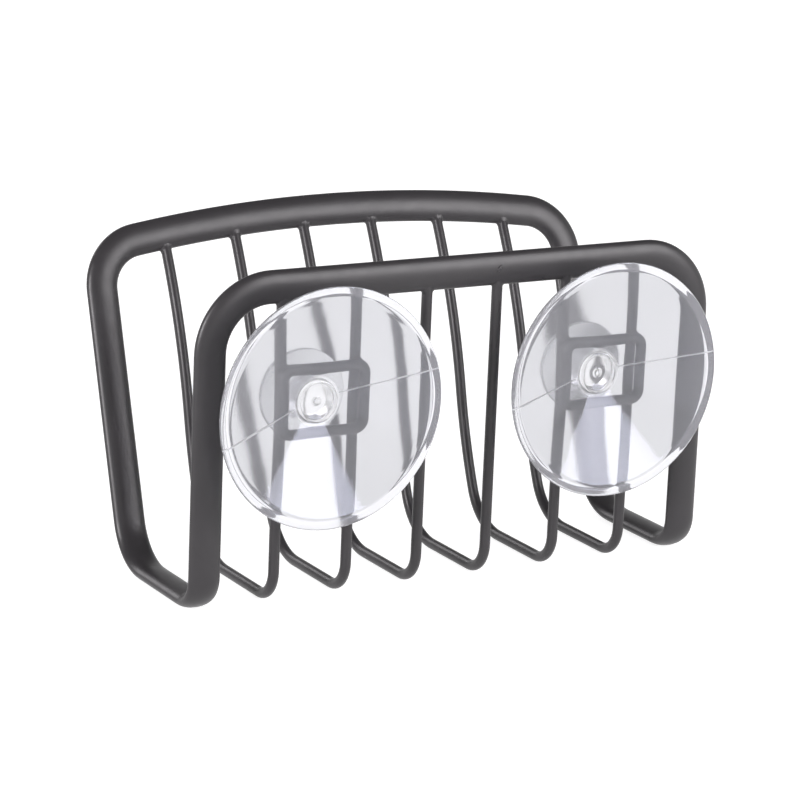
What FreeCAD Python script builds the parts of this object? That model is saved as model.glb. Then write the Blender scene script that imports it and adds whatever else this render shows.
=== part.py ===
import FreeCAD, Part
import Sketcher
import math
import os

# Sponge holder that hangs on a sink wall by two suction cups.
# A loop of flat-oval rod carries six bent basket wires. Two wire rings are welded on the wall side
# of the basket, and a soft clear suction cup is buttoned through each ring.
# Millimetres. +X runs along the holder, +Z is up, and the cups face the wall in -Y.
# The origin lies on the surface that the holder stands on, under the middle of its box.

SIZES = {
    # Frame: one closed loop of flat-oval rod, with the wall side upright and the room side leaning out
    "rod_width": 8.0,
    "rod_thickness": 3.6,
    "leg_spacing": 132.0,
    "near_bar_height": 76.8,
    "near_corner_radius": 15.0,
    "near_foot_radius": 7.0,
    "foot_depth": 37.8,
    "far_foot_radius": 14.0,
    "far_lean": 18.8,
    "far_bar_height": 79.2,
    "far_arch_radius": 380.0,
    "far_corner_radius": 12.0,
    # Basket wires: down from the near bar, back along the floor, up with a waist and a flare to the far bar
    "wire_diameter": 2.6,
    "wire_pitch": 19.15,
    "wire_front_bend": 7.0,
    "wire_heel_inset": 12.6,
    "wire_back_bend": 14.5,
    "wire_bend_lean": 24.0,
    "wire_waist_lean": 13.5,
    "wire_waist_height": 34.0,
    "bar_weld": 1.0,
    # Cup rings: rounded rectangles of wire, welded across a pair of basket wires
    "ring_wire_diameter": 2.6,
    "ring_overhang": 2.4,
    "ring_shift": 0.5,
    "ring_drop": 0.6,
    "ring_corner_radius": 2.4,
    "ring_weld": 0.3,
    # Suction cups: dish, neck through the ring, button head behind the wires
    "cup_height": 50.3,
    "cup_diameter": 57.5,
    "cup_depth": 7.9,
    "hub_wall": 1.8,
    "hub_flat_diameter": 5.0,
    "rim_thickness": 1.2,
    "land_width": 2.2,
    "nib_diameter": 1.8,
    "nib_height": 0.8,
    "neck_diameter": 10.0,
    "neck_gap": 0.5,
    "neck_play": 1.5,
    "head_diameter": 21.5,
    "head_thickness": 2.2,
    "running_gap": 0.3,
}

WIRE_COUNT = 6
SIDES = {"left": -1, "right": 1}

doc = FreeCAD.newDocument("sponge_holder")
sheet = doc.addObject("Spreadsheet::Sheet", "Size")
for row, (alias, number) in enumerate(SIZES.items(), start=1):
    sheet.set(f"A{row}", alias)
    sheet.set(f"B{row}", str(number))
    sheet.setAlias(f"B{row}", alias)
doc.recompute()


def value(expression):
    """The number that an expression over the sheet gives now."""
    return float(sheet.evalExpression(str(expression)))


# Places that several pieces share. Depths are counted from the near plane, which holds the near bar,
# the near legs and the near side of the basket wires.
ROD_FLOOR = "Size.rod_thickness / 2"
WIRE_FLOOR = "Size.wire_diameter / 2"
WIRE_RUN = "(Size.foot_depth - Size.wire_heel_inset)"
WIRE_TOP = "Size.near_bar_height - Size.rod_width / 2 + Size.bar_weld"
RING_DEPTH = "Size.wire_diameter / 2 + Size.ring_wire_diameter / 2 - Size.ring_weld"
DISH_BACK = f"{RING_DEPTH} + Size.ring_wire_diameter / 2 + Size.running_gap"
DISH_APEX = f"{DISH_BACK} + Size.hub_wall"
SEAL_DEPTH = f"{DISH_APEX} + Size.cup_depth"
HEAD_FRONT = "Size.wire_diameter / 2 + Size.running_gap"
CROWN_RISE = f"(Size.far_bar_height - {ROD_FLOOR}) / cos(Size.far_lean)"
OVAL_REACH = (
    "sqrt((Size.rod_width / 2 * sin(Size.far_lean))^2"
    " + (Size.rod_thickness / 2 * cos(Size.far_lean))^2)"
)
FAR_REACH = f"Size.foot_depth + {CROWN_RISE} * sin(Size.far_lean) + {OVAL_REACH}"
NEAR_PLANE = f"({SEAL_DEPTH} - ({FAR_REACH})) / 2"


def far_bar_rise(x_expression):
    """Rise of the arched far bar's centre line above the foot, measured up the lean, at a place along X."""
    return (
        f"({CROWN_RISE} - Size.far_arch_radius"
        f" + sqrt(Size.far_arch_radius^2 - ({x_expression})^2))"
    )


def origin_plane(body, role):
    """One of a body's own base planes."""
    return next(feature for feature in body.Origin.OriginFeatures if feature.Role == role)


def new_sketch(body, role, name):
    """An empty sketch on one of the body's base planes."""
    sketch = body.newObject("Sketcher::SketchObject", name)
    sketch.AttachmentSupport = [(origin_plane(body, role), "")]
    sketch.MapMode = "FlatFace"
    return sketch


def point(x, y):
    """A point of a sketch."""
    return FreeCAD.Vector(x, y, 0)


def arc(centre, radius, start_degrees, end_degrees):
    """A sketch arc, counter-clockwise from the start angle to the end angle."""
    circle = Part.Circle(centre, FreeCAD.Vector(0, 0, 1), radius)
    return Part.ArcOfCircle(circle, math.radians(start_degrees), math.radians(end_degrees))


def bind(sketch, kind, where, expression):
    """Add a dimension to a sketch and tie it to the sheet."""
    index = sketch.addConstraint(Sketcher.Constraint(kind, *where, value(expression)))
    sketch.setExpression(f"Constraints[{index}]", str(expression))


def join_tangent(sketch, pairs):
    """Join pairs of curve ends smoothly."""
    for here, there in pairs:
        sketch.addConstraint(Sketcher.Constraint("Tangent", *here, *there))


def place(body, x, y, z):
    """Tie a body's position to the sheet."""
    body.setExpression("Placement.Base.x", x)
    body.setExpression("Placement.Base.y", y)
    body.setExpression("Placement.Base.z", z)


def pipe(body, name, section, path):
    """Sweep a section sketch along a path sketch."""
    feature = body.newObject("PartDesign::AdditivePipe", name)
    feature.Profile = section
    feature.Spine = path
    body.Tip = feature
    return feature


# A sketch's own origin, as its constraints name it
ROOT = (-1, 1)
ON_AXIS = "0"


def start(curve):
    """The start of a sketch curve, as constraints name it."""
    return curve, 1


def end(curve):
    """The end of a sketch curve, as constraints name it."""
    return curve, 2


def centre(curve):
    """The centre of a sketch circle or arc, as constraints name it."""
    return curve, 3


def hold_on_horizontal_axis(sketch, where):
    """Keep a sketch point on the sketch's horizontal axis."""
    sketch.addConstraint(Sketcher.Constraint("PointOnObject", *where, -1))


def hold_on_vertical_axis(sketch, where):
    """Keep a sketch point on the sketch's vertical axis."""
    sketch.addConstraint(Sketcher.Constraint("PointOnObject", *where, -2))


def frame_half_path():
    """Centre line of the left half of the loop, from the near bar's middle to the far bar's middle."""
    half = value("Size.leg_spacing / 2")
    near = value(NEAR_PLANE)
    floor = value(ROD_FLOOR)
    bar = value("Size.near_bar_height")
    corner = value("Size.near_corner_radius")
    foot = value("Size.near_foot_radius")
    depth = value("Size.foot_depth")
    heel = value("Size.far_foot_radius")
    lean = math.radians(value("Size.far_lean"))
    arch = value("Size.far_arch_radius")
    shoulder = value("Size.far_corner_radius")
    crown = value(CROWN_RISE)

    def far_side(x, rise):
        """A point of the leaning far side."""
        return FreeCAD.Vector(x, near + depth + rise * math.sin(lean), floor + rise * math.cos(lean))

    def wall_side(x, z):
        """A point of the upright wall side."""
        return FreeCAD.Vector(x, near, z)

    def left_side(d, z):
        """A point in the plane of the left legs and their floor run."""
        return FreeCAD.Vector(-half, near + d, z)

    diagonal = math.sqrt(0.5)
    heel_run = heel * math.tan((math.pi / 2 - lean) / 2)
    heel_mid = (math.pi / 2 - lean) / 2
    shoulder_x = half - shoulder
    arch_centre = crown - arch
    shoulder_rise = arch_centre + math.sqrt((arch - shoulder) ** 2 - shoulder_x ** 2)
    meet = math.atan2(shoulder_x, shoulder_rise - arch_centre)
    shoulder_mid = (math.pi / 2 + meet) / 2

    near_middle = wall_side(0, bar)
    near_corner_start = wall_side(-half + corner, bar)
    near_corner_mid = wall_side(-half + corner * (1 - diagonal), bar - corner * (1 - diagonal))
    near_corner_end = wall_side(-half, bar - corner)
    foot_start = left_side(0, floor + foot)
    foot_mid = left_side(foot * (1 - diagonal), floor + foot * (1 - diagonal))
    foot_end = left_side(foot, floor)
    heel_start = left_side(depth - heel_run, floor)
    heel_middle = left_side(
        depth - heel_run + heel * math.sin(heel_mid),
        floor + heel * (1 - math.cos(heel_mid)),
    )
    heel_end = far_side(-half, heel_run)
    shoulder_start = far_side(-half, shoulder_rise)
    shoulder_middle = far_side(
        -shoulder_x - shoulder * math.sin(shoulder_mid),
        shoulder_rise + shoulder * math.cos(shoulder_mid),
    )
    shoulder_end = far_side(-arch * math.sin(meet), arch_centre + arch * math.cos(meet))
    arch_middle = far_side(-arch * math.sin(meet / 2), arch_centre + arch * math.cos(meet / 2))
    far_middle = far_side(0, crown)

    runs = [
        Part.LineSegment(near_middle, near_corner_start),
        Part.Arc(near_corner_start, near_corner_mid, near_corner_end),
        Part.LineSegment(near_corner_end, foot_start),
        Part.Arc(foot_start, foot_mid, foot_end),
        Part.LineSegment(foot_end, heel_start),
        Part.Arc(heel_start, heel_middle, heel_end),
        Part.LineSegment(heel_end, shoulder_start),
        Part.Arc(shoulder_start, shoulder_middle, shoulder_end),
        Part.Arc(shoulder_end, arch_middle, far_middle),
    ]
    return Part.Wire([run.toShape() for run in runs])


def make_frame():
    """The rod loop: an oval swept along half the loop, mirrored and fused into one closed ring."""
    path = doc.addObject("Part::Feature", "frame_path")
    path.Shape = frame_half_path()

    section = doc.addObject("Part::Ellipse", "frame_section")
    section.setExpression("MajorRadius", "Size.rod_width / 2")
    section.setExpression("MinorRadius", "Size.rod_thickness / 2")
    section.Placement.Rotation = FreeCAD.Rotation(FreeCAD.Vector(0, 1, 0), -90)
    section.setExpression("Placement.Base.y", NEAR_PLANE)
    section.setExpression("Placement.Base.z", "Size.near_bar_height")

    half = doc.addObject("Part::Sweep", "frame_half")
    half.Sections = [section]
    half.Spine = (path, [f"Edge{index + 1}" for index in range(len(path.Shape.Edges))])
    half.Solid = True
    half.Frenet = False

    mirrored = doc.addObject("Part::Mirroring", "frame_other_half")
    mirrored.Source = half
    mirrored.Normal = FreeCAD.Vector(1, 0, 0)

    frame = doc.addObject("Part::Fuse", "frame")
    frame.Base = half
    frame.Tool = mirrored
    frame.Refine = True
    doc.recompute()
    return frame


def make_wire_body(number):
    """One basket wire before its ends are fitted to the bars."""
    x = f"({number - (WIRE_COUNT + 1) / 2}) * Size.wire_pitch"
    body = doc.addObject("PartDesign::Body", f"wire_{number}_body")
    place(body, x, NEAR_PLANE, "0")

    bend_end_height = f"{WIRE_FLOOR} + Size.wire_back_bend * (1 - sin(Size.wire_bend_lean))"
    waist_radius = (
        f"(Size.wire_waist_height - ({bend_end_height}))"
        " / (sin(Size.wire_bend_lean) - sin(Size.wire_waist_lean))"
    )
    end_rise = f"({far_bar_rise(x)} - Size.rod_width / 2 + Size.bar_weld)"
    end_depth = f"Size.foot_depth + {end_rise} * sin(Size.far_lean)"
    end_height = f"{ROD_FLOOR} + {end_rise} * cos(Size.far_lean)"

    floor = value(WIRE_FLOOR)
    top = value(WIRE_TOP)
    front = value("Size.wire_front_bend")
    run = value(WIRE_RUN)
    back = value("Size.wire_back_bend")
    bend_lean = math.radians(value("Size.wire_bend_lean"))
    waist_lean = math.radians(value("Size.wire_waist_lean"))
    waist = value(waist_radius)

    bend_end = point(run + back * math.cos(bend_lean), value(bend_end_height))
    waist_centre = bend_end + point(-waist * math.cos(bend_lean), waist * math.sin(bend_lean))
    waist_end = waist_centre + point(waist * math.cos(waist_lean), -waist * math.sin(waist_lean))
    flare_end = point(value(end_depth), value(end_height))
    chord = flare_end - waist_end
    flare_turn = 2 * (math.atan2(chord.x, chord.y) - waist_lean)
    flare = chord.Length / (2 * math.sin(flare_turn / 2))
    flare_centre = waist_end + point(flare * math.cos(waist_lean), -flare * math.sin(waist_lean))
    bend_degrees = math.degrees(bend_lean)
    waist_degrees = math.degrees(waist_lean)
    flare_degrees = math.degrees(flare_turn)

    path = new_sketch(body, "YZ_Plane", f"wire_{number}_path")
    near_run = path.addGeometry(Part.LineSegment(point(0, top), point(0, floor + front)))
    front_bend = path.addGeometry(arc(point(front, floor + front), front, 180, 270))
    floor_run = path.addGeometry(Part.LineSegment(point(front, floor), point(run, floor)))
    back_bend = path.addGeometry(arc(point(run, floor + back), back, 270, 360 - bend_degrees))
    waist_bend = path.addGeometry(arc(waist_centre, waist, 360 - bend_degrees, 360 - waist_degrees))
    flare_bend = path.addGeometry(
        arc(flare_centre, flare, 180 - waist_degrees - flare_degrees, 180 - waist_degrees)
    )
    path.addConstraint(Sketcher.Constraint("Vertical", near_run))
    path.addConstraint(Sketcher.Constraint("Horizontal", floor_run))
    hold_on_vertical_axis(path, start(near_run))
    join_tangent(path, [
        (end(near_run), start(front_bend)),
        (end(front_bend), start(floor_run)),
        (end(floor_run), start(back_bend)),
        (end(back_bend), start(waist_bend)),
        (end(waist_bend), end(flare_bend)),
    ])
    bind(path, "DistanceY", (*ROOT, *start(near_run)), WIRE_TOP)
    bind(path, "DistanceY", (*ROOT, *start(floor_run)), WIRE_FLOOR)
    bind(path, "Radius", (front_bend,), "Size.wire_front_bend")
    bind(path, "Radius", (back_bend,), "Size.wire_back_bend")
    bind(path, "Radius", (waist_bend,), waist_radius)
    bind(path, "DistanceX", (*ROOT, *centre(back_bend)), WIRE_RUN)
    bind(path, "DistanceY", (*ROOT, *end(back_bend)), bend_end_height)
    bind(path, "DistanceY", (*ROOT, *end(waist_bend)), "Size.wire_waist_height")
    bind(path, "DistanceX", (*ROOT, *start(flare_bend)), end_depth)
    bind(path, "DistanceY", (*ROOT, *start(flare_bend)), end_height)

    section = new_sketch(body, "XY_Plane", f"wire_{number}_section")
    section.setExpression("AttachmentOffset.Base.z", WIRE_TOP)
    ring = section.addGeometry(Part.Circle(point(0, 0), FreeCAD.Vector(0, 0, 1), floor))
    section.addConstraint(Sketcher.Constraint("Coincident", *centre(ring), *ROOT))
    bind(section, "Radius", (ring,), "Size.wire_diameter / 2")

    pipe(body, f"wire_{number}_sweep", section, path)
    return body


def make_wire(number, body, frame):
    """A basket wire with both ends coped to the oval bars."""
    wire = doc.addObject("Part::Cut", f"wire_{number}")
    wire.Base = body
    wire.Tool = frame
    return wire


def make_ring(side_name, wire_bodies):
    """A cup ring: a rounded rectangle of wire, coped where it is welded to its two basket wires."""
    side = SIDES[side_name]
    body = doc.addObject("PartDesign::Body", f"cup_ring_{side_name}_body")
    place(
        body,
        f"{side} * 2 * Size.wire_pitch + Size.ring_shift",
        f"{NEAR_PLANE} - ({RING_DEPTH})",
        "Size.cup_height - Size.ring_drop",
    )
    width = "Size.wire_pitch + Size.ring_overhang"
    height = "Size.neck_diameter + 2 * Size.neck_play + Size.ring_wire_diameter"
    corner = value("Size.ring_corner_radius")
    right = value(width) / 2
    upper = value(height) / 2

    path = new_sketch(body, "XZ_Plane", f"cup_ring_{side_name}_path")
    inner_right = right - corner
    inner_upper = upper - corner
    top = path.addGeometry(Part.LineSegment(point(-inner_right, upper), point(inner_right, upper)))
    top_right = path.addGeometry(arc(point(inner_right, inner_upper), corner, 0, 90))
    right_run = path.addGeometry(Part.LineSegment(point(right, inner_upper), point(right, -inner_upper)))
    low_right = path.addGeometry(arc(point(inner_right, -inner_upper), corner, 270, 360))
    low = path.addGeometry(Part.LineSegment(point(inner_right, -upper), point(-inner_right, -upper)))
    low_left = path.addGeometry(arc(point(-inner_right, -inner_upper), corner, 180, 270))
    left_run = path.addGeometry(Part.LineSegment(point(-right, -inner_upper), point(-right, inner_upper)))
    top_left = path.addGeometry(arc(point(-inner_right, inner_upper), corner, 90, 180))
    join_tangent(path, [
        (end(top), end(top_right)),
        (start(top_right), start(right_run)),
        (end(right_run), end(low_right)),
        (start(low_right), start(low)),
        (end(low), end(low_left)),
        (start(low_left), start(left_run)),
        (end(left_run), end(top_left)),
        (start(top_left), start(top)),
    ])
    for level in (top, low):
        path.addConstraint(Sketcher.Constraint("Horizontal", level))
    for upright in (right_run, left_run):
        path.addConstraint(Sketcher.Constraint("Vertical", upright))
    for bend in (low_right, low_left, top_left):
        path.addConstraint(Sketcher.Constraint("Equal", top_right, bend))
    path.addConstraint(Sketcher.Constraint("Symmetric", *start(top), *start(low), *ROOT))
    bind(path, "Radius", (top_right,), "Size.ring_corner_radius")
    bind(path, "DistanceX", (*start(left_run), *end(right_run)), width)
    bind(path, "DistanceY", (*start(low), *end(top)), height)

    section = new_sketch(body, "YZ_Plane", f"cup_ring_{side_name}_section")
    circle = section.addGeometry(
        Part.Circle(point(0, upper), FreeCAD.Vector(0, 0, 1), value("Size.ring_wire_diameter / 2"))
    )
    hold_on_vertical_axis(section, centre(circle))
    bind(section, "DistanceY", (*ROOT, *centre(circle)), f"({height}) / 2")
    bind(section, "Radius", (circle,), "Size.ring_wire_diameter / 2")
    pipe(body, f"cup_ring_{side_name}_sweep", section, path)

    pair = doc.addObject("Part::Compound", f"cup_ring_{side_name}_wires")
    pair.Links = wire_bodies
    ring = doc.addObject("Part::Cut", f"cup_ring_{side_name}")
    ring.Base = body
    ring.Tool = pair
    return ring


def make_cup(side_name):
    """A suction cup, turned about its own axis along Y: dish, nib, neck and button head."""
    side = SIDES[side_name]
    body = doc.addObject("PartDesign::Body", f"suction_cup_{side_name}")
    place(
        body,
        f"{side} * 2 * Size.wire_pitch - Size.wire_pitch / 2"
        " + Size.wire_diameter / 2 + Size.neck_gap + Size.neck_diameter / 2",
        NEAR_PLANE,
        "Size.cup_height",
    )
    head_round = "Size.head_diameter / 2 - Size.head_thickness / 2"
    head_back = f"{HEAD_FRONT} + Size.head_thickness"
    nib_tip = f"{DISH_APEX} + Size.nib_height"
    rim_back = f"{SEAL_DEPTH} - Size.rim_thickness"
    # Corners of the half section, as (depth from the near plane, radius); the dish side is minus
    corners = [
        (f"-({nib_tip})", ON_AXIS),
        (f"-({nib_tip})", "Size.nib_diameter / 2"),
        (f"-({DISH_APEX})", "Size.nib_diameter / 2"),
        (f"-({DISH_APEX})", "Size.hub_flat_diameter / 2"),
        (f"-({SEAL_DEPTH})", "Size.cup_diameter / 2 - Size.land_width"),
        (f"-({SEAL_DEPTH})", "Size.cup_diameter / 2"),
        (f"-({rim_back})", "Size.cup_diameter / 2"),
        (f"-({DISH_BACK})", "Size.neck_diameter / 2"),
        (HEAD_FRONT, "Size.neck_diameter / 2"),
        (HEAD_FRONT, head_round),
        (head_back, head_round),
        (head_back, ON_AXIS),
    ]
    profile = new_sketch(body, "YZ_Plane", f"suction_cup_{side_name}_profile")
    places = [point(value(depth), value(radius)) for depth, radius in corners]
    sides = []
    for index, here in enumerate(places):
        there = places[(index + 1) % len(places)]
        is_head_edge = corners[index] == (HEAD_FRONT, head_round)
        if is_head_edge:
            middle = (here + there) * 0.5
            curve = arc(middle, (there - here).Length / 2, 0, 180)
        else:
            curve = Part.LineSegment(here, there)
        sides.append((profile.addGeometry(curve), is_head_edge))

    for index, (curve, is_head_edge) in enumerate(sides):
        next_curve, next_is_head_edge = sides[(index + 1) % len(sides)]
        here = start(curve) if is_head_edge else end(curve)
        there = end(next_curve) if next_is_head_edge else start(next_curve)
        joint = "Tangent" if next_is_head_edge else "Coincident"
        profile.addConstraint(Sketcher.Constraint(joint, *here, *there))
    for (curve, is_head_edge), (depth, radius) in zip(sides, corners):
        begin = end(curve) if is_head_edge else start(curve)
        bind(profile, "DistanceX", (*ROOT, *begin), depth)
        if radius == ON_AXIS:
            hold_on_horizontal_axis(profile, begin)
        else:
            bind(profile, "DistanceY", (*ROOT, *begin), radius)

    turned = body.newObject("PartDesign::Revolution", f"suction_cup_{side_name}_turned")
    turned.Profile = profile
    turned.ReferenceAxis = (profile, ["H_Axis"])
    turned.Angle = 360
    body.Tip = turned
    return body


frame = make_frame()
wire_bodies = [make_wire_body(number) for number in range(1, WIRE_COUNT + 1)]
wires = [make_wire(number, body, frame) for number, body in enumerate(wire_bodies, start=1)]
ring_wires = {"left": wire_bodies[:2], "right": wire_bodies[-2:]}
rings = [make_ring(side_name, ring_wires[side_name]) for side_name in SIDES]
cups = [make_cup(side_name) for side_name in SIDES]
doc.recompute()

for item in doc.Objects:
    if "Invalid" in item.State or "Error" in item.State:
        raise RuntimeError(f"{item.Name} failed: {item.State}")

os.makedirs("parts", exist_ok=True)
for piece in [frame, *wires, *rings, *cups]:
    piece.Label = piece.Name
    if piece.Shape.isNull() or not piece.Shape.isValid():
        raise RuntimeError(f"{piece.Label} has no valid shape")
    if len(piece.Shape.Solids) != 1:
        raise RuntimeError(f"{piece.Label} is {len(piece.Shape.Solids)} solids, not one")
    piece.Shape.exportStep(f"parts/{piece.Label}.step")
    box = piece.Shape.BoundBox
    print(
        f"{piece.Label}: {piece.Shape.Volume:.1f} mm3,"
        f" x {box.XMin:.2f} to {box.XMax:.2f},"
        f" y {box.YMin:.2f} to {box.YMax:.2f},"
        f" z {box.ZMin:.2f} to {box.ZMax:.2f}"
    )
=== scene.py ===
import math
import random

import bpy
import numpy
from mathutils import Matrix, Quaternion, Vector
from mathutils.bvhtree import BVHTree


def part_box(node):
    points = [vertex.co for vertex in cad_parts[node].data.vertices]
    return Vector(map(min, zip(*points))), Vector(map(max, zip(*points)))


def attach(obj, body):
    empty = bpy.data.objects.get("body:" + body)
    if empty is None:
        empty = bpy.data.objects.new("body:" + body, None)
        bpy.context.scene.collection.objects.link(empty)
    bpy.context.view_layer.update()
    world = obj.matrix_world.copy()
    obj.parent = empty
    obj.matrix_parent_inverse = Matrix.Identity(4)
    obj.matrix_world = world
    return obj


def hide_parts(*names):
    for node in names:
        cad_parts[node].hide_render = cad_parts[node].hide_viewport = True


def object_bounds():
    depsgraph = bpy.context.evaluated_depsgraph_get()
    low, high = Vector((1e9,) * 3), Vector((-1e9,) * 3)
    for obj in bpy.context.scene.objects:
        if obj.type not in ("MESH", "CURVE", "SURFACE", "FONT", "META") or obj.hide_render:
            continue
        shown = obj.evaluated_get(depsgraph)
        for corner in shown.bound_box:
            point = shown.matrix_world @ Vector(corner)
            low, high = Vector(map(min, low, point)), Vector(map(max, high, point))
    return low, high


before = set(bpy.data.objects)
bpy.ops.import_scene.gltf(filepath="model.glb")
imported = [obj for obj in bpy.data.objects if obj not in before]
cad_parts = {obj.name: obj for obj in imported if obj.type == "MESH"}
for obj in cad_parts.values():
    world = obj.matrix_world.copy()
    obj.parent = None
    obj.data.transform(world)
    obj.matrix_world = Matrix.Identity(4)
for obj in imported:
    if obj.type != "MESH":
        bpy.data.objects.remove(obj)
cad_box = [list(corner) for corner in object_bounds()]

MM = 0.001

# The camera stands where the photograph was taken from.
CAMERA_PLACE = (-0.40779, -0.71014, 0.25273)
CAMERA_AZIMUTH = -29.83
CAMERA_ELEVATION = 14.64
CAMERA_ROLL = 2.36
CAMERA_LENS = 155.55
CAMERA_SENSOR = 36.0

# The studio: white all round, with a ceiling that is dimmer in gloss alone, and three softboxes.
# Lengths are in metres and angles in degrees.
FLOOR_RADIUS = 4.0
FLOOR_COLOUR = (0.8, 0.8, 0.8, 1.0)
FLOOR_GLOW = 0.85
FLOOR_SHADOW_SHARE = 0.45
AMBIENT = 0.35
CEILING = 0.25
SWEEP_TOP = 12.0
CEILING_START = 35.0
SOFTBOXES = {
    "front_softbox": {
        "azimuth": 33.0, "elevation": 19.0, "distance": 1.0,
        "width": 0.64, "height": 0.50, "radiance": 8.0,
    },
    "left_softbox": {
        "azimuth": -68.0, "elevation": 18.0, "distance": 1.1,
        "width": 0.30, "height": 0.40, "radiance": 26.0,
    },
    "back_softbox": {
        "azimuth": 200.0, "elevation": 30.0, "distance": 1.3,
        "width": 0.80, "height": 0.50, "radiance": 4.0,
    },
}
SOFTBOX_COLOUR = (1.0, 0.975, 1.0)

# The suction cup's half-section, as depths behind the plane of its lip, radii from its axis, and widths.
CUP_DISH_DEPTH = 7.9 * MM
CUP_LIP_LAND = 2.2 * MM
CUP_LIP_EDGE = 0.5 * MM
CUP_LIP_TAPER = 1.7 * MM
CUP_SHOULDER_DEPTH = 1.0 * MM
CUP_SHOULDER_WIDTH = 0.7 * MM
CUP_BACK_DEPTH = 8.75 * MM
CUP_BACK_BULGE = 0.08 * MM
CUP_HUB_FLAT = 2.5 * MM
CUP_HUB_RING = 4.7 * MM
CUP_HUB_RING_HALF_WIDTH = 0.4 * MM
CUP_HUB_RING_HEIGHT = 0.2 * MM
CUP_NIB_RADIUS = 0.9 * MM
CUP_NIB_HEIGHT = 0.8 * MM
CUP_NECK_RADIUS = 5.0 * MM
CUP_NECK_FILLET = 1.2 * MM
CUP_HEAD_RADIUS = 10.75 * MM
CUP_HEAD_THICKNESS = 2.2 * MM
CUP_HEAD_EDGE = 0.8 * MM
CUP_COLUMNS = 192

# How finely each stretch of the half-section is divided, and the angle where the lip's round edge ends.
NIB_STEPS = 7
HUB_FLAT_STEPS = 3
HUB_RING_STEPS = 5
DISH_STEPS = 18
LAND_STEPS = 3
LIP_EDGE_STEPS = 8
LIP_EDGE_END = 70.0
TAPER_STEPS = 4
SHOULDER_STEPS = 2
BACK_STEPS = 20
FILLET_STEPS = 7
NECK_STEPS = 4
HEAD_FACE_STEPS = 5
HEAD_EDGE_STEPS = 14
DOME_STEPS = 10

# The powder coat's tones, gloss and unevenness. A noise's scale is how many features fit in a metre.
COAT_SPECULAR = 0.43
COAT_TONE_NOISE = {"scale": 90.0, "detail": 4.0}
COAT_TONES = [
    (0.30, (0.0255, 0.0235, 0.0255, 1.0)),
    (0.70, (0.0315, 0.0290, 0.0315, 1.0)),
]
COAT_GLOSS_NOISE = {"scale": 350.0, "detail": 3.0}
COAT_SMOOTHEST = 0.31
COAT_ROUGHEST = 0.43
COAT_PEEL_NOISE = {"scale": 900.0, "detail": 2.0}
COAT_PEEL_BUMP = {"distance": 0.02 * MM, "strength": 0.6}
COAT_GRAIN_NOISE = {"scale": 4200.0, "detail": 2.0}
COAT_GRAIN_BUMP = {"distance": 0.006 * MM, "strength": 0.5}

# Soft plastic has a weaker and slightly bluer gloss than glass.
PVC_GLOSS_TINT = (0.57, 0.60, 0.72, 1.0)
PVC_IOR = 1.5
PVC_HAZE_NOISE = {"scale": 160.0, "detail": 3.0}
PVC_FLOW_NOISE = {"scale": 110.0, "detail": 1.0}
PVC_FLOW_BUMP = {"distance": 0.12 * MM, "strength": 0.5}

# A cup's finishes, in the order of its material slots: dish, neck and head, parting ridge, lip.
# The dish has the plastic's own tint. The neck and head, the ridge and the lip are lighter copies of it:
# painted highlight for the light these parts refract.
# The slack lets the row of points at the inner edge of the lip's land count as lip.
PVC_FINISHES = {
    "clear_pvc": {
        "colour": (0.66, 0.665, 0.69, 1.0), "transmission": 0.86,
        "smoothest": 0.06, "roughest": 0.09,
    },
    # The neck and head: clearer and whiter than the dish, a painted highlight for the light the thick head
    # refracts; their frosting is roughness.
    "clear_pvc_neck_painted_highlight": {
        "colour": (0.98, 0.985, 1.0, 1.0), "transmission": 1.0,
        "smoothest": 0.2, "roughest": 0.3,
    },
    # The parting ridge: milky white, a painted highlight for the glint of light along the ridge.
    "clear_pvc_ridge_painted_highlight": {
        "colour": (0.90, 0.90, 0.92, 1.0), "transmission": 0.3,
        "smoothest": 0.3, "roughest": 0.4,
    },
    # The lip: lighter than the dish, a painted highlight for the light the lip's taper refracts.
    "clear_pvc_lip_painted_highlight": {
        "colour": (0.84, 0.845, 0.875, 1.0), "transmission": 0.85,
        "smoothest": 0.06, "roughest": 0.09,
    },
}
NECK_SLOT = 1
RIDGE_SLOT = 2
LIP_SLOT = 3
LIP_SLACK = 1.01

# The mould's parting line is a fine ridge across the back of the dish. Its section is pairs of shares:
# of the half-width sideways, and of the height.
PARTING_TILT = {"left": 14.8, "right": 9.6}
PARTING_HALF_WIDTH = 0.17 * MM
PARTING_HEIGHT = 0.1 * MM
PARTING_INNER_RADIUS = 6.5 * MM
PARTING_SECTION = [(0.0, 1.0), (0.5, 0.65), (1.0, 0.0), (1.8, 0.0)]

# The fillets of weld where the wires meet the bars, and the beads between the rings and the wires,
# whose sizes are half-lengths along x, y and z.
WELD_REACH = 0.7 * MM
WELD_LEG = 1.0 * MM
WELD_SINK = 0.06 * MM
WELD_LOOK_BACK = 5.0 * MM
WELD_LOOK_ON = 3.0 * MM
WELD_AXIS_LENGTH = 9.0 * MM
WELD_CAP_LENGTH = 2.0 * MM
WELD_SIDES = 32
WELD_STEPS = 7
WELD_UNEVEN = 0.25
WELD_SEED = 7
RING_BEAD = (1.7 * MM, 1.0 * MM, 1.55 * MM)
BEAD_ROWS = 12
BEAD_COLUMNS = 20
RING_WIRES = {"left": ("wire_1", "wire_2"), "right": ("wire_5", "wire_6")}

# A small run in the coat on the wall side of the near bar: its two ends, as x and z.
RUN_FOOT = (8.3 * MM, 76.3 * MM)
RUN_TOP = (9.6 * MM, 78.0 * MM)
RUN_HALF_WIDTH = 0.55 * MM
RUN_HEIGHT = 0.32 * MM
RUN_BLUNTNESS = 0.7
RUN_TAPER = 0.35


def direction(azimuth, elevation):
    """The unit vector from the object towards a place at this azimuth and elevation, in degrees."""
    a = math.radians(azimuth)
    e = math.radians(elevation)
    return Vector((math.sin(a) * math.cos(e), -math.cos(a) * math.cos(e), math.sin(e)))


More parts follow.
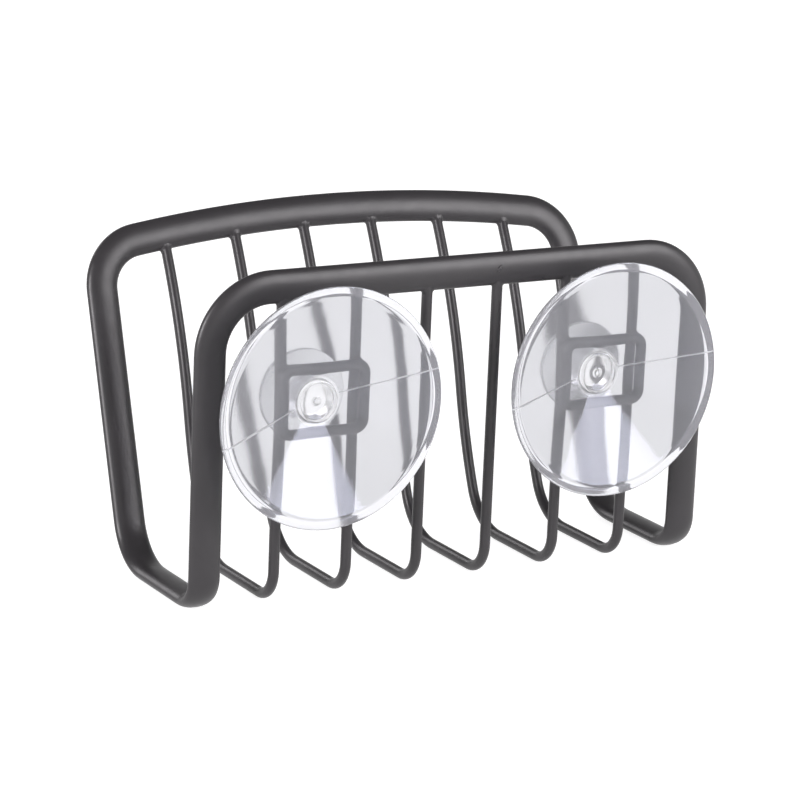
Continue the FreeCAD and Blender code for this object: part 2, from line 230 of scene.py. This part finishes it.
def add_mesh(name, points, faces):
    """A smooth mesh object in the scene."""
    mesh = bpy.data.meshes.new(name)
    mesh.from_pydata([tuple(p) for p in points], [], faces)
    mesh.validate()
    mesh.shade_smooth()
    made = bpy.data.objects.new(name, mesh)
    bpy.context.scene.collection.objects.link(made)
    return made


def new_material(name):
    """An empty node material, with its nodes, its links and its output."""
    material = bpy.data.materials.new(name)
    material.use_nodes = True
    nodes = material.node_tree.nodes
    nodes.clear()
    output = nodes.new("ShaderNodeOutputMaterial")
    return material, nodes, material.node_tree.links, output


def noise_node(nodes, links, coordinates, scale, detail):
    """Noise on the piece's own coordinates; scale is how many features fit in a metre."""
    noise = nodes.new("ShaderNodeTexNoise")
    noise.inputs["Scale"].default_value = scale
    noise.inputs["Detail"].default_value = detail
    links.new(coordinates.outputs["Object"], noise.inputs["Vector"])
    return noise


def ramp_node(nodes, links, value, stops):
    """A colour ramp over a value, from (position, colour) stops."""
    ramp = nodes.new("ShaderNodeValToRGB")
    for element, (position, colour) in zip(ramp.color_ramp.elements, stops):
        element.position = position
        element.color = colour
    links.new(value, ramp.inputs["Fac"])
    return ramp


def range_node(nodes, links, value, low, high):
    """Spreads a value of 0 to 1 over low to high."""
    spread = nodes.new("ShaderNodeMapRange")
    spread.inputs["To Min"].default_value = low
    spread.inputs["To Max"].default_value = high
    links.new(value, spread.inputs["Value"])
    return spread


def bump_node(nodes, links, height, distance, strength, below=None):
    """A bump of this height in metres, on top of another bump where one is given."""
    bump = nodes.new("ShaderNodeBump")
    bump.inputs["Distance"].default_value = distance
    bump.inputs["Strength"].default_value = strength
    links.new(height, bump.inputs["Height"])
    if below is not None:
        links.new(below.outputs["Normal"], bump.inputs["Normal"])
    return bump


def powder_coat():
    """Satin dark bronze-grey powder coat: soft orange peel, fine grain and uneven gloss."""
    material, nodes, links, output = new_material("powder_coat")
    shader = nodes.new("ShaderNodeBsdfPrincipled")
    shader.inputs["Specular IOR Level"].default_value = COAT_SPECULAR
    links.new(shader.outputs["BSDF"], output.inputs["Surface"])
    coordinates = nodes.new("ShaderNodeTexCoord")

    tone = noise_node(nodes, links, coordinates, **COAT_TONE_NOISE)
    colour = ramp_node(nodes, links, tone.outputs["Fac"], COAT_TONES)
    links.new(colour.outputs["Color"], shader.inputs["Base Color"])

    gloss = noise_node(nodes, links, coordinates, **COAT_GLOSS_NOISE)
    roughness = range_node(nodes, links, gloss.outputs["Fac"], COAT_SMOOTHEST, COAT_ROUGHEST)
    links.new(roughness.outputs["Result"], shader.inputs["Roughness"])

    peel = noise_node(nodes, links, coordinates, **COAT_PEEL_NOISE)
    peel_bump = bump_node(nodes, links, peel.outputs["Fac"], **COAT_PEEL_BUMP)
    grain = noise_node(nodes, links, coordinates, **COAT_GRAIN_NOISE)
    grain_bump = bump_node(nodes, links, grain.outputs["Fac"], below=peel_bump, **COAT_GRAIN_BUMP)
    links.new(grain_bump.outputs["Normal"], shader.inputs["Normal"])
    return material


def clear_pvc(name, colour, transmission, smoothest, roughest):
    """Clear soft plastic, slightly milky, with faint flow waves from the mould. Its colour comes with the
    finish, and the lighter finishes are painted highlight.
    """
    material, nodes, links, output = new_material(name)
    shader = nodes.new("ShaderNodeBsdfPrincipled")
    shader.inputs["Base Color"].default_value = colour
    shader.inputs["Transmission Weight"].default_value = transmission
    shader.inputs["IOR"].default_value = PVC_IOR
    shader.inputs["Specular Tint"].default_value = PVC_GLOSS_TINT
    links.new(shader.outputs["BSDF"], output.inputs["Surface"])
    coordinates = nodes.new("ShaderNodeTexCoord")

    haze = noise_node(nodes, links, coordinates, **PVC_HAZE_NOISE)
    roughness = range_node(nodes, links, haze.outputs["Fac"], smoothest, roughest)
    links.new(roughness.outputs["Result"], shader.inputs["Roughness"])

    flow = noise_node(nodes, links, coordinates, **PVC_FLOW_NOISE)
    flow_bump = bump_node(nodes, links, flow.outputs["Fac"], **PVC_FLOW_BUMP)
    links.new(flow_bump.outputs["Normal"], shader.inputs["Normal"])
    return material


def seen_directly(nodes, links):
    """1 for what the camera sees straight, in gloss or through the clear plastic, else 0."""
    path = nodes.new("ShaderNodeLightPath")
    seen = path.outputs["Is Camera Ray"]
    for kind in ("Is Glossy Ray", "Is Transmission Ray"):
        either = nodes.new("ShaderNodeMath")
        either.operation = "MAXIMUM"
        links.new(seen, either.inputs[0])
        links.new(path.outputs[kind], either.inputs[1])
        seen = either.outputs["Value"]
    return seen


def floor_material():
    """Pale paper that the camera sees as white, with the object's shadow left on it."""
    material, nodes, links, output = new_material("pale_floor")
    paper = nodes.new("ShaderNodeBsdfDiffuse")
    paper.inputs["Color"].default_value = FLOOR_COLOUR
    shadowed = nodes.new("ShaderNodeBsdfDiffuse")
    shadowed.inputs["Color"].default_value = (FLOOR_SHADOW_SHARE,) * 3 + (1.0,)
    glow = nodes.new("ShaderNodeEmission")
    glow.inputs["Strength"].default_value = FLOOR_GLOW
    white = nodes.new("ShaderNodeAddShader")
    links.new(shadowed.outputs["BSDF"], white.inputs[0])
    links.new(glow.outputs["Emission"], white.inputs[1])
    mix = nodes.new("ShaderNodeMixShader")
    links.new(seen_directly(nodes, links), mix.inputs["Fac"])
    links.new(paper.outputs["BSDF"], mix.inputs[1])
    links.new(white.outputs["Shader"], mix.inputs[2])
    links.new(mix.outputs["Shader"], output.inputs["Surface"])
    return material


def make_floor():
    """A wide round floor under the object."""
    sides = 96
    height = cad_box[0][2]
    turns = [2 * math.pi * i / sides for i in range(sides)]
    rim = [(FLOOR_RADIUS * math.cos(t), FLOOR_RADIUS * math.sin(t), height) for t in turns]
    floor = add_mesh("floor", rim, [list(range(sides))])
    floor.data.materials.append(floor_material())


def make_world():
    """White all round, with a dimmer ceiling in gloss alone; plain light on the object."""
    world = bpy.data.worlds.new("studio")
    world.use_nodes = True
    bpy.context.scene.world = world
    nodes = world.node_tree.nodes
    links = world.node_tree.links
    nodes.clear()
    output = nodes.new("ShaderNodeOutputWorld")
    background = nodes.new("ShaderNodeBackground")
    links.new(background.outputs["Background"], output.inputs["Surface"])

    coordinates = nodes.new("ShaderNodeTexCoord")
    parts = nodes.new("ShaderNodeSeparateXYZ")
    links.new(coordinates.outputs["Generated"], parts.inputs["Vector"])
    sweep = nodes.new("ShaderNodeMapRange")
    sweep.interpolation_type = "SMOOTHSTEP"
    sweep.inputs["From Min"].default_value = math.sin(math.radians(SWEEP_TOP))
    sweep.inputs["From Max"].default_value = math.sin(math.radians(CEILING_START))
    sweep.inputs["To Min"].default_value = 1.0
    sweep.inputs["To Max"].default_value = CEILING
    links.new(parts.outputs["Z"], sweep.inputs["Value"])

    path = nodes.new("ShaderNodeLightPath")
    white = nodes.new("ShaderNodeMix")
    white.inputs["A"].default_value = 1.0
    links.new(path.outputs["Is Glossy Ray"], white.inputs["Factor"])
    links.new(sweep.outputs["Result"], white.inputs["B"])
    strength = nodes.new("ShaderNodeMix")
    strength.inputs["A"].default_value = AMBIENT
    links.new(seen_directly(nodes, links), strength.inputs["Factor"])
    links.new(white.outputs["Result"], strength.inputs["B"])
    links.new(strength.outputs["Result"], background.inputs["Strength"])


def make_softbox(name, azimuth, elevation, distance, width, height, radiance):
    """A rectangular area light that faces the middle of the object."""
    lamp = bpy.data.lights.new(name, "AREA")
    lamp.shape = "RECTANGLE"
    lamp.size = width
    lamp.size_y = height
    lamp.energy = radiance * math.pi * width * height
    lamp.color = SOFTBOX_COLOUR
    softbox = bpy.data.objects.new(name, lamp)
    bpy.context.scene.collection.objects.link(softbox)
    low, high = (Vector(corner) for corner in cad_box)
    back = direction(azimuth, elevation)
    softbox.location = (low + high) / 2 + back * distance
    softbox.rotation_mode = "QUATERNION"
    softbox.rotation_quaternion = (-back).to_track_quat("-Z", "Y")


def make_camera():
    """The photograph's own view."""
    data = bpy.data.cameras.new("camera")
    data.lens = CAMERA_LENS
    data.sensor_width = CAMERA_SENSOR
    camera = bpy.data.objects.new("camera", data)
    bpy.context.scene.collection.objects.link(camera)
    back = direction(CAMERA_AZIMUTH, CAMERA_ELEVATION)
    roll = Quaternion((0.0, 0.0, 1.0), math.radians(CAMERA_ROLL))
    camera.location = CAMERA_PLACE
    camera.rotation_mode = "QUATERNION"
    camera.rotation_quaternion = (-back).to_track_quat("-Z", "Y") @ roll
    bpy.context.scene.camera = camera


def arc(centre, radius, start, end, steps):
    """Points of an arc in a half-section, angles in degrees from the radius axis towards depth."""
    points = []
    for i in range(steps + 1):
        angle = math.radians(start + (end - start) * i / steps)
        points.append((centre[0] + radius * math.cos(angle), centre[1] + radius * math.sin(angle)))
    return points


def run(start, end, steps):
    """Points between two places of a half-section, the ends left out."""
    shares = [i / steps for i in range(1, steps)]
    return [(start[0] + (end[0] - start[0]) * s, start[1] + (end[1] - start[1]) * s) for s in shares]


def dish_run(start, end):
    """The dish's face from its hub to its lip, with one low ring round the hub."""
    ring_steps = range(-HUB_RING_STEPS, HUB_RING_STEPS + 1)
    ring = [CUP_HUB_RING + CUP_HUB_RING_HALF_WIDTH * i / HUB_RING_STEPS for i in ring_steps]
    reach = end[0] - ring[-1]
    radii = ring + [ring[-1] + reach * i / DISH_STEPS for i in range(1, DISH_STEPS)]
    points = []
    for radius in radii:
        share = (radius - start[0]) / (end[0] - start[0])
        off_ring = min(1.0, abs(radius - CUP_HUB_RING) / CUP_HUB_RING_HALF_WIDTH)
        rise = CUP_HUB_RING_HEIGHT * (1 + math.cos(math.pi * off_ring)) / 2
        points.append((radius, start[1] + (end[1] - start[1]) * share - rise))
    return points


def bulged_run(start, end):
    """The dish's back from its shoulder to its neck, a little fuller than a cone."""
    points = []
    for i, (radius, depth) in enumerate(run(start, end, BACK_STEPS), start=1):
        share = i / BACK_STEPS
        points.append((radius, depth + CUP_BACK_BULGE * 4 * share * (1 - share)))
    return points


def head_dome(start, top):
    """The head's back, domed from its thin edge up to the middle."""
    points = []
    for i in range(1, DOME_STEPS):
        share = 1 - i / DOME_STEPS
        points.append((start[0] * share, top - (top - start[1]) * share ** 2))
    return points


def cup_nib():
    """The round nib in the middle of the dish, from its tip to its foot."""
    points = [(0.0, CUP_DISH_DEPTH - CUP_NIB_HEIGHT)]
    for i in range(1, NIB_STEPS + 1):
        angle = math.radians(90.0 * i / NIB_STEPS)
        depth = CUP_DISH_DEPTH - CUP_NIB_HEIGHT * math.cos(angle)
        points.append((CUP_NIB_RADIUS * math.sin(angle), depth))
    return points


def cup_front(cup_radius):
    """The wall side: from the nib over the dish and the flat land, and round the lip's edge."""
    nib = cup_nib()
    dish_start = (CUP_HUB_FLAT, CUP_DISH_DEPTH)
    dish_end = (cup_radius - CUP_LIP_LAND, 0.0)
    edge_radius = CUP_LIP_EDGE / 2
    edge_centre = (cup_radius - edge_radius, edge_radius)
    edge = arc(edge_centre, edge_radius, -90.0, LIP_EDGE_END, LIP_EDGE_STEPS)
    return (
        nib + run(nib[-1], dish_start, HUB_FLAT_STEPS) + [dish_start]
        + dish_run(dish_start, dish_end) + [dish_end]
        + run(dish_end, edge[0], LAND_STEPS) + edge
    )


def cup_back(cup_radius, edge_end):
    """The dish's back: from the lip's edge over its taper and shoulder to the neck's fillet."""
    land_radius = cup_radius - CUP_LIP_LAND
    dish_slope = CUP_DISH_DEPTH / (land_radius - CUP_HUB_FLAT)
    taper_end = (cup_radius - CUP_LIP_TAPER, CUP_SHOULDER_DEPTH)
    shoulder_start = (land_radius, CUP_SHOULDER_DEPTH)
    shoulder_end = (
        land_radius - CUP_SHOULDER_WIDTH,
        CUP_SHOULDER_DEPTH + CUP_SHOULDER_WIDTH * dish_slope,
    )
    fillet_start = (CUP_NECK_RADIUS + CUP_NECK_FILLET, CUP_BACK_DEPTH)
    return (
        run(edge_end, taper_end, TAPER_STEPS) + [taper_end]
        + run(taper_end, shoulder_start, SHOULDER_STEPS) + [shoulder_start]
        + run(shoulder_start, shoulder_end, SHOULDER_STEPS) + [shoulder_end]
        + bulged_run(shoulder_end, fillet_start)
    )


def cup_neck_and_head(cup_length):
    """From the fillet behind the dish along the neck, and round the button head to its middle."""
    fillet_radius = CUP_NECK_RADIUS + CUP_NECK_FILLET
    head_front = cup_length - CUP_HEAD_THICKNESS
    head_round = CUP_HEAD_EDGE / 2
    neck_start_centre = (fillet_radius, CUP_BACK_DEPTH + CUP_NECK_FILLET)
    neck_end_centre = (fillet_radius, head_front - CUP_NECK_FILLET)
    head_edge_centre = (CUP_HEAD_RADIUS - head_round, head_front + head_round)
    neck_start = arc(neck_start_centre, CUP_NECK_FILLET, 270.0, 180.0, FILLET_STEPS)
    neck_end = arc(neck_end_centre, CUP_NECK_FILLET, 180.0, 90.0, FILLET_STEPS)
    head_edge = arc(head_edge_centre, head_round, -90.0, 90.0, HEAD_EDGE_STEPS)
    return (
        neck_start + run(neck_start[-1], neck_end[0], NECK_STEPS) + neck_end
        + run(neck_end[-1], head_edge[0], HEAD_FACE_STEPS) + head_edge
        + head_dome(head_edge[-1], cup_length) + [(0.0, cup_length)]
    )


def cup_profile(cup_radius, cup_length):
    """The half-section from the nib's tip, round the lip and the neck, to the middle of the head.

    Each point is (radius, depth, share of the parting ridge). The count of points before the
    neck comes with it."""
    front = cup_front(cup_radius)
    back = cup_back(cup_radius, front[-1])
    points = (
        [(radius, depth, 0.0) for radius, depth in front]
        + [(radius, depth, 1.0) for radius, depth in back]
        + [(radius, depth, 0.0) for radius, depth in cup_neck_and_head(cup_length)]
    )
    return points, len(front) + len(back)


def cup_columns(radius):
    """Angles round the axis, with the parting ridge's height share at each.

    The columns beside the ridge keep their distance from it, so the ridge has one width throughout."""
    beside = []
    for offset, height in PARTING_SECTION:
        beside.append((offset * PARTING_HALF_WIDTH / max(radius, PARTING_INNER_RADIUS), height))
    plain_columns = CUP_COLUMNS // 2 - 2 * len(beside) + 1
    first = beside[-1][0]
    step = (math.pi - 2 * first) / (plain_columns + 1)
    half = list(beside)
    half += [(first + step * (i + 1), 0.0) for i in range(plain_columns)]
    half += [(math.pi - angle, height) for angle, height in reversed(beside[1:])]
    return half + [(math.pi + angle, height) for angle, height in half]


def set_cup_slots(cup, profile, neck_row, cup_radius):
    """Gives each face of a cup its slot: the dish keeps the first, neck, ridge and lip get theirs, whose
    lighter colours are painted highlight.
    """
    first_of_neck = 1 + (neck_row - 1) * CUP_COLUMNS
    lip_start = cup_radius - CUP_LIP_LAND * LIP_SLACK
    raised = set()
    on_lip = set()
    for row, (radius, _, ridge) in enumerate(profile[1:-1]):
        for column, (_, height) in enumerate(cup_columns(radius)):
            vertex = 1 + row * CUP_COLUMNS + column
            if ridge * height > 0.0:
                raised.add(vertex)
            if radius > lip_start:
                on_lip.add(vertex)
    for face in cup.data.polygons:
        if min(face.vertices) >= first_of_neck:
            face.material_index = NECK_SLOT
        elif raised.intersection(face.vertices):
            face.material_index = RIDGE_SLOT
        elif on_lip.issuperset(face.vertices):
            face.material_index = LIP_SLOT


def make_cup(side, materials):
    """One suction cup, turned about its axis, with the mould's parting line across the dish."""
    node = "suction_cup_" + side
    low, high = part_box(node)
    cup_radius = (high.x - low.x) / 2
    axis_x = (low.x + high.x) / 2
    axis_z = (low.z + high.z) / 2
    profile, neck_row = cup_profile(cup_radius, high.y - low.y)
    tilt = math.radians(PARTING_TILT[side])
    points = [Vector((axis_x, low.y + profile[0][1], axis_z))]
    for radius, depth, ridge in profile[1:-1]:
        for angle, height in cup_columns(radius):
            points.append(Vector((
                axis_x + radius * math.cos(tilt + angle),
                low.y + depth + PARTING_HEIGHT * ridge * height,
                axis_z + radius * math.sin(tilt + angle),
            )))
    points.append(Vector((axis_x, low.y + profile[-1][1], axis_z)))
    cup = add_mesh("clear_cup_" + side, points, capped_faces(0, len(profile) - 2, CUP_COLUMNS))
    for material in materials:
        cup.data.materials.append(material)
    set_cup_slots(cup, profile, neck_row, cup_radius)
    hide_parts(node)
    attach(cup, side + "_cup")


def tube_faces(first, rows, columns, closed):
    """Quads between rows of points that each close on themselves; closed joins the last row to the first."""
    faces = []
    for row in range(rows if closed else rows - 1):
        here = first + row * columns
        there = first + ((row + 1) % rows) * columns
        for column in range(columns):
            after = (column + 1) % columns
            faces.append((here + column, there + column, there + after, here + after))
    return faces


def capped_faces(first, rows, columns):
    """Faces of a closed shape: an end point, rows of points round it, and the other end point."""
    faces = tube_faces(first + 1, rows, columns, closed=False)
    last_row = first + 1 + (rows - 1) * columns
    last = last_row + columns
    for column in range(columns):
        after = (column + 1) % columns
        faces.append((first, first + 1 + column, first + 1 + after))
        faces.append((last_row + after, last_row + column, last))
    return faces


def wire_top(node, far):
    """The middle of a basket wire's top end on the near or far side, and its direction into the bar."""
    points = numpy.array([v.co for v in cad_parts[node].data.vertices if (v.co.y > 0.0) == far])
    axis = numpy.array((0.0, 0.0, 1.0))
    if far:
        upper = points[points[:, 2] > points[:, 2].max() - WELD_AXIS_LENGTH]
        lengthwise = numpy.linalg.svd(upper - upper.mean(axis=0))[2][0]
        axis = lengthwise * math.copysign(1.0, lengthwise[2])
    along = points @ axis
    cap = points[along > along.max() - WELD_CAP_LENGTH]
    centre = (cap.min(axis=0) + cap.max(axis=0)) / 2
    return Vector(centre), Vector(axis)


def weld_rows(bars, centre, axis, wire_radius, uneven):
    """Rings of points for one fillet: from the wire's side, round to the bar, and back inside them."""
    across = axis.cross(Vector((1.0, 0.0, 0.0))).normalized()
    along = axis.cross(across)
    rows = [[] for _ in range(WELD_STEPS + 3)]
    for i in range(WELD_SIDES):
        turn = 2 * math.pi * i / WELD_SIDES
        out = along * math.cos(turn) + across * math.sin(turn)
        size = 1.0 + WELD_UNEVEN * (math.sin(turn + uneven[0]) + math.sin(2 * turn + uneven[1])) / 2
        start = centre - axis * WELD_LOOK_BACK
        look = WELD_LOOK_BACK + WELD_LOOK_ON
        corner = bars.ray_cast(start + out * wire_radius, axis, look)[0]
        if corner is None:
            corner = centre + out * wire_radius
        contact = bars.ray_cast(start + out * (wire_radius + WELD_REACH * size), axis, look)[0]
        if contact is None or (contact - corner).length > 2 * WELD_REACH:
            contact = bars.find_nearest(corner + out * WELD_REACH * size / 2)[0]
        foot = corner - axis * WELD_LEG * size
        for step in range(WELD_STEPS + 1):
            s = step / WELD_STEPS
            rows[step].append(foot * (1 - s) ** 2 + corner * 2 * s * (1 - s) + contact * s * s)
        rows[0][-1] -= out * WELD_SINK
        rows[WELD_STEPS][-1] += axis * WELD_SINK
        inside = centre + out * wire_radius / 2
        rows[WELD_STEPS + 1].append(inside + axis * WELD_SINK)
        rows[WELD_STEPS + 2].append(inside - axis * WELD_LEG)
    return rows


def make_bar_welds(material):
    """The fillets at the tops of the six basket wires, under the near bar and under the far bar."""
    bars = BVHTree.FromPolygons(
        [v.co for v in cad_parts["frame"].data.vertices],
        [tuple(p.vertices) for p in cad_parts["frame"].data.polygons],
    )
    chance = random.Random(WELD_SEED)
    wires = sorted(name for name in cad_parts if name.startswith("wire_"))
    for far in (False, True):
        points = []
        faces = []
        for wire in wires:
            low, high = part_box(wire)
            centre, axis = wire_top(wire, far)
            uneven = (chance.uniform(0.0, 2 * math.pi), chance.uniform(0.0, 2 * math.pi))
            rows = weld_rows(bars, centre, axis, (high.x - low.x) / 2, uneven)
            faces += tube_faces(len(points), len(rows), WELD_SIDES, closed=True)
            for row in rows:
                points += row
        steel_piece(add_mesh("far_bar_welds" if far else "near_bar_welds", points, faces), material)


def bead_points(middle):
    """One bead as a rounded lump: its wall-side tip, rows of points round it, and its far tip."""
    tip = Vector((0.0, RING_BEAD[1], 0.0))
    points = [middle - tip]
    for row in range(1, BEAD_ROWS):
        lean = math.pi * row / BEAD_ROWS
        for column in range(BEAD_COLUMNS):
            turn = 2 * math.pi * column / BEAD_COLUMNS
            points.append(middle + Vector((
                RING_BEAD[0] * math.sin(lean) * math.cos(turn),
                -RING_BEAD[1] * math.cos(lean),
                RING_BEAD[2] * math.sin(lean) * math.sin(turn),
            )))
    points.append(middle + tip)
    return points


def make_ring_welds(material):
    """Beads where the top and bottom of each cup ring cross a basket wire."""
    for side, wires in RING_WIRES.items():
        ring_low, ring_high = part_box("cup_ring_" + side)
        ring_radius = (ring_high.y - ring_low.y) / 2
        points = []
        faces = []
        for wire in wires:
            wire_low, wire_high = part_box(wire)
            for height in (ring_low.z + ring_radius, ring_high.z - ring_radius):
                middle = Vector(((wire_low.x + wire_high.x) / 2, ring_high.y, height))
                faces += capped_faces(len(points), BEAD_ROWS - 1, BEAD_COLUMNS)
                points += bead_points(middle)
        steel_piece(add_mesh("ring_welds_" + side, points, faces), material)


def make_coat_run(material):
    """A short run in the coat, like a drop drawn out up the near bar's wall side."""
    steps = 16
    columns = 16
    face_y = min(v.co.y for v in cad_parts["frame"].data.vertices)
    foot = Vector((RUN_FOOT[0], face_y, RUN_FOOT[1]))
    top = Vector((RUN_TOP[0], face_y, RUN_TOP[1]))
    lengthwise = (top - foot).normalized()
    sideways = lengthwise.cross(Vector((0.0, 1.0, 0.0)))
    points = [foot]
    for step in range(1, steps):
        s = step / steps
        swell = math.sin(math.pi * s) ** RUN_BLUNTNESS * (1.0 - RUN_TAPER * s)
        middle = foot.lerp(top, s)
        for column in range(columns):
            turn = 2 * math.pi * column / columns
            points.append(
                middle + sideways * RUN_HALF_WIDTH * swell * math.cos(turn)
                + Vector((0.0, 1.0, 0.0)) * RUN_HEIGHT * swell * math.sin(turn)
            )
    points.append(top)
    steel_piece(add_mesh("coat_run", points, capped_faces(0, steps - 1, columns)), material)


def steel_piece(piece, material):
    """A piece of the welded holder, in its coat."""
    piece.data.materials.append(material)
    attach(piece, "holder")


def dress_steel(material):
    """The coat on every rod, wire and ring that comes from the frame."""
    for name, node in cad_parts.items():
        if name.startswith("suction_cup"):
            continue
        node.data.materials.clear()
        node.data.materials.append(material)
        node.data.shade_smooth()


bpy.context.scene.view_settings.view_transform = "Standard"
coat = powder_coat()
cup_materials = [clear_pvc(name, **finish) for name, finish in PVC_FINISHES.items()]
dress_steel(coat)
for cup_side in ("left", "right"):
    make_cup(cup_side, cup_materials)
make_bar_welds(coat)
make_ring_welds(coat)
make_coat_run(coat)
make_floor()
make_world()
for softbox_name, softbox_sizes in SOFTBOXES.items():
    make_softbox(softbox_name, **softbox_sizes)
make_camera()
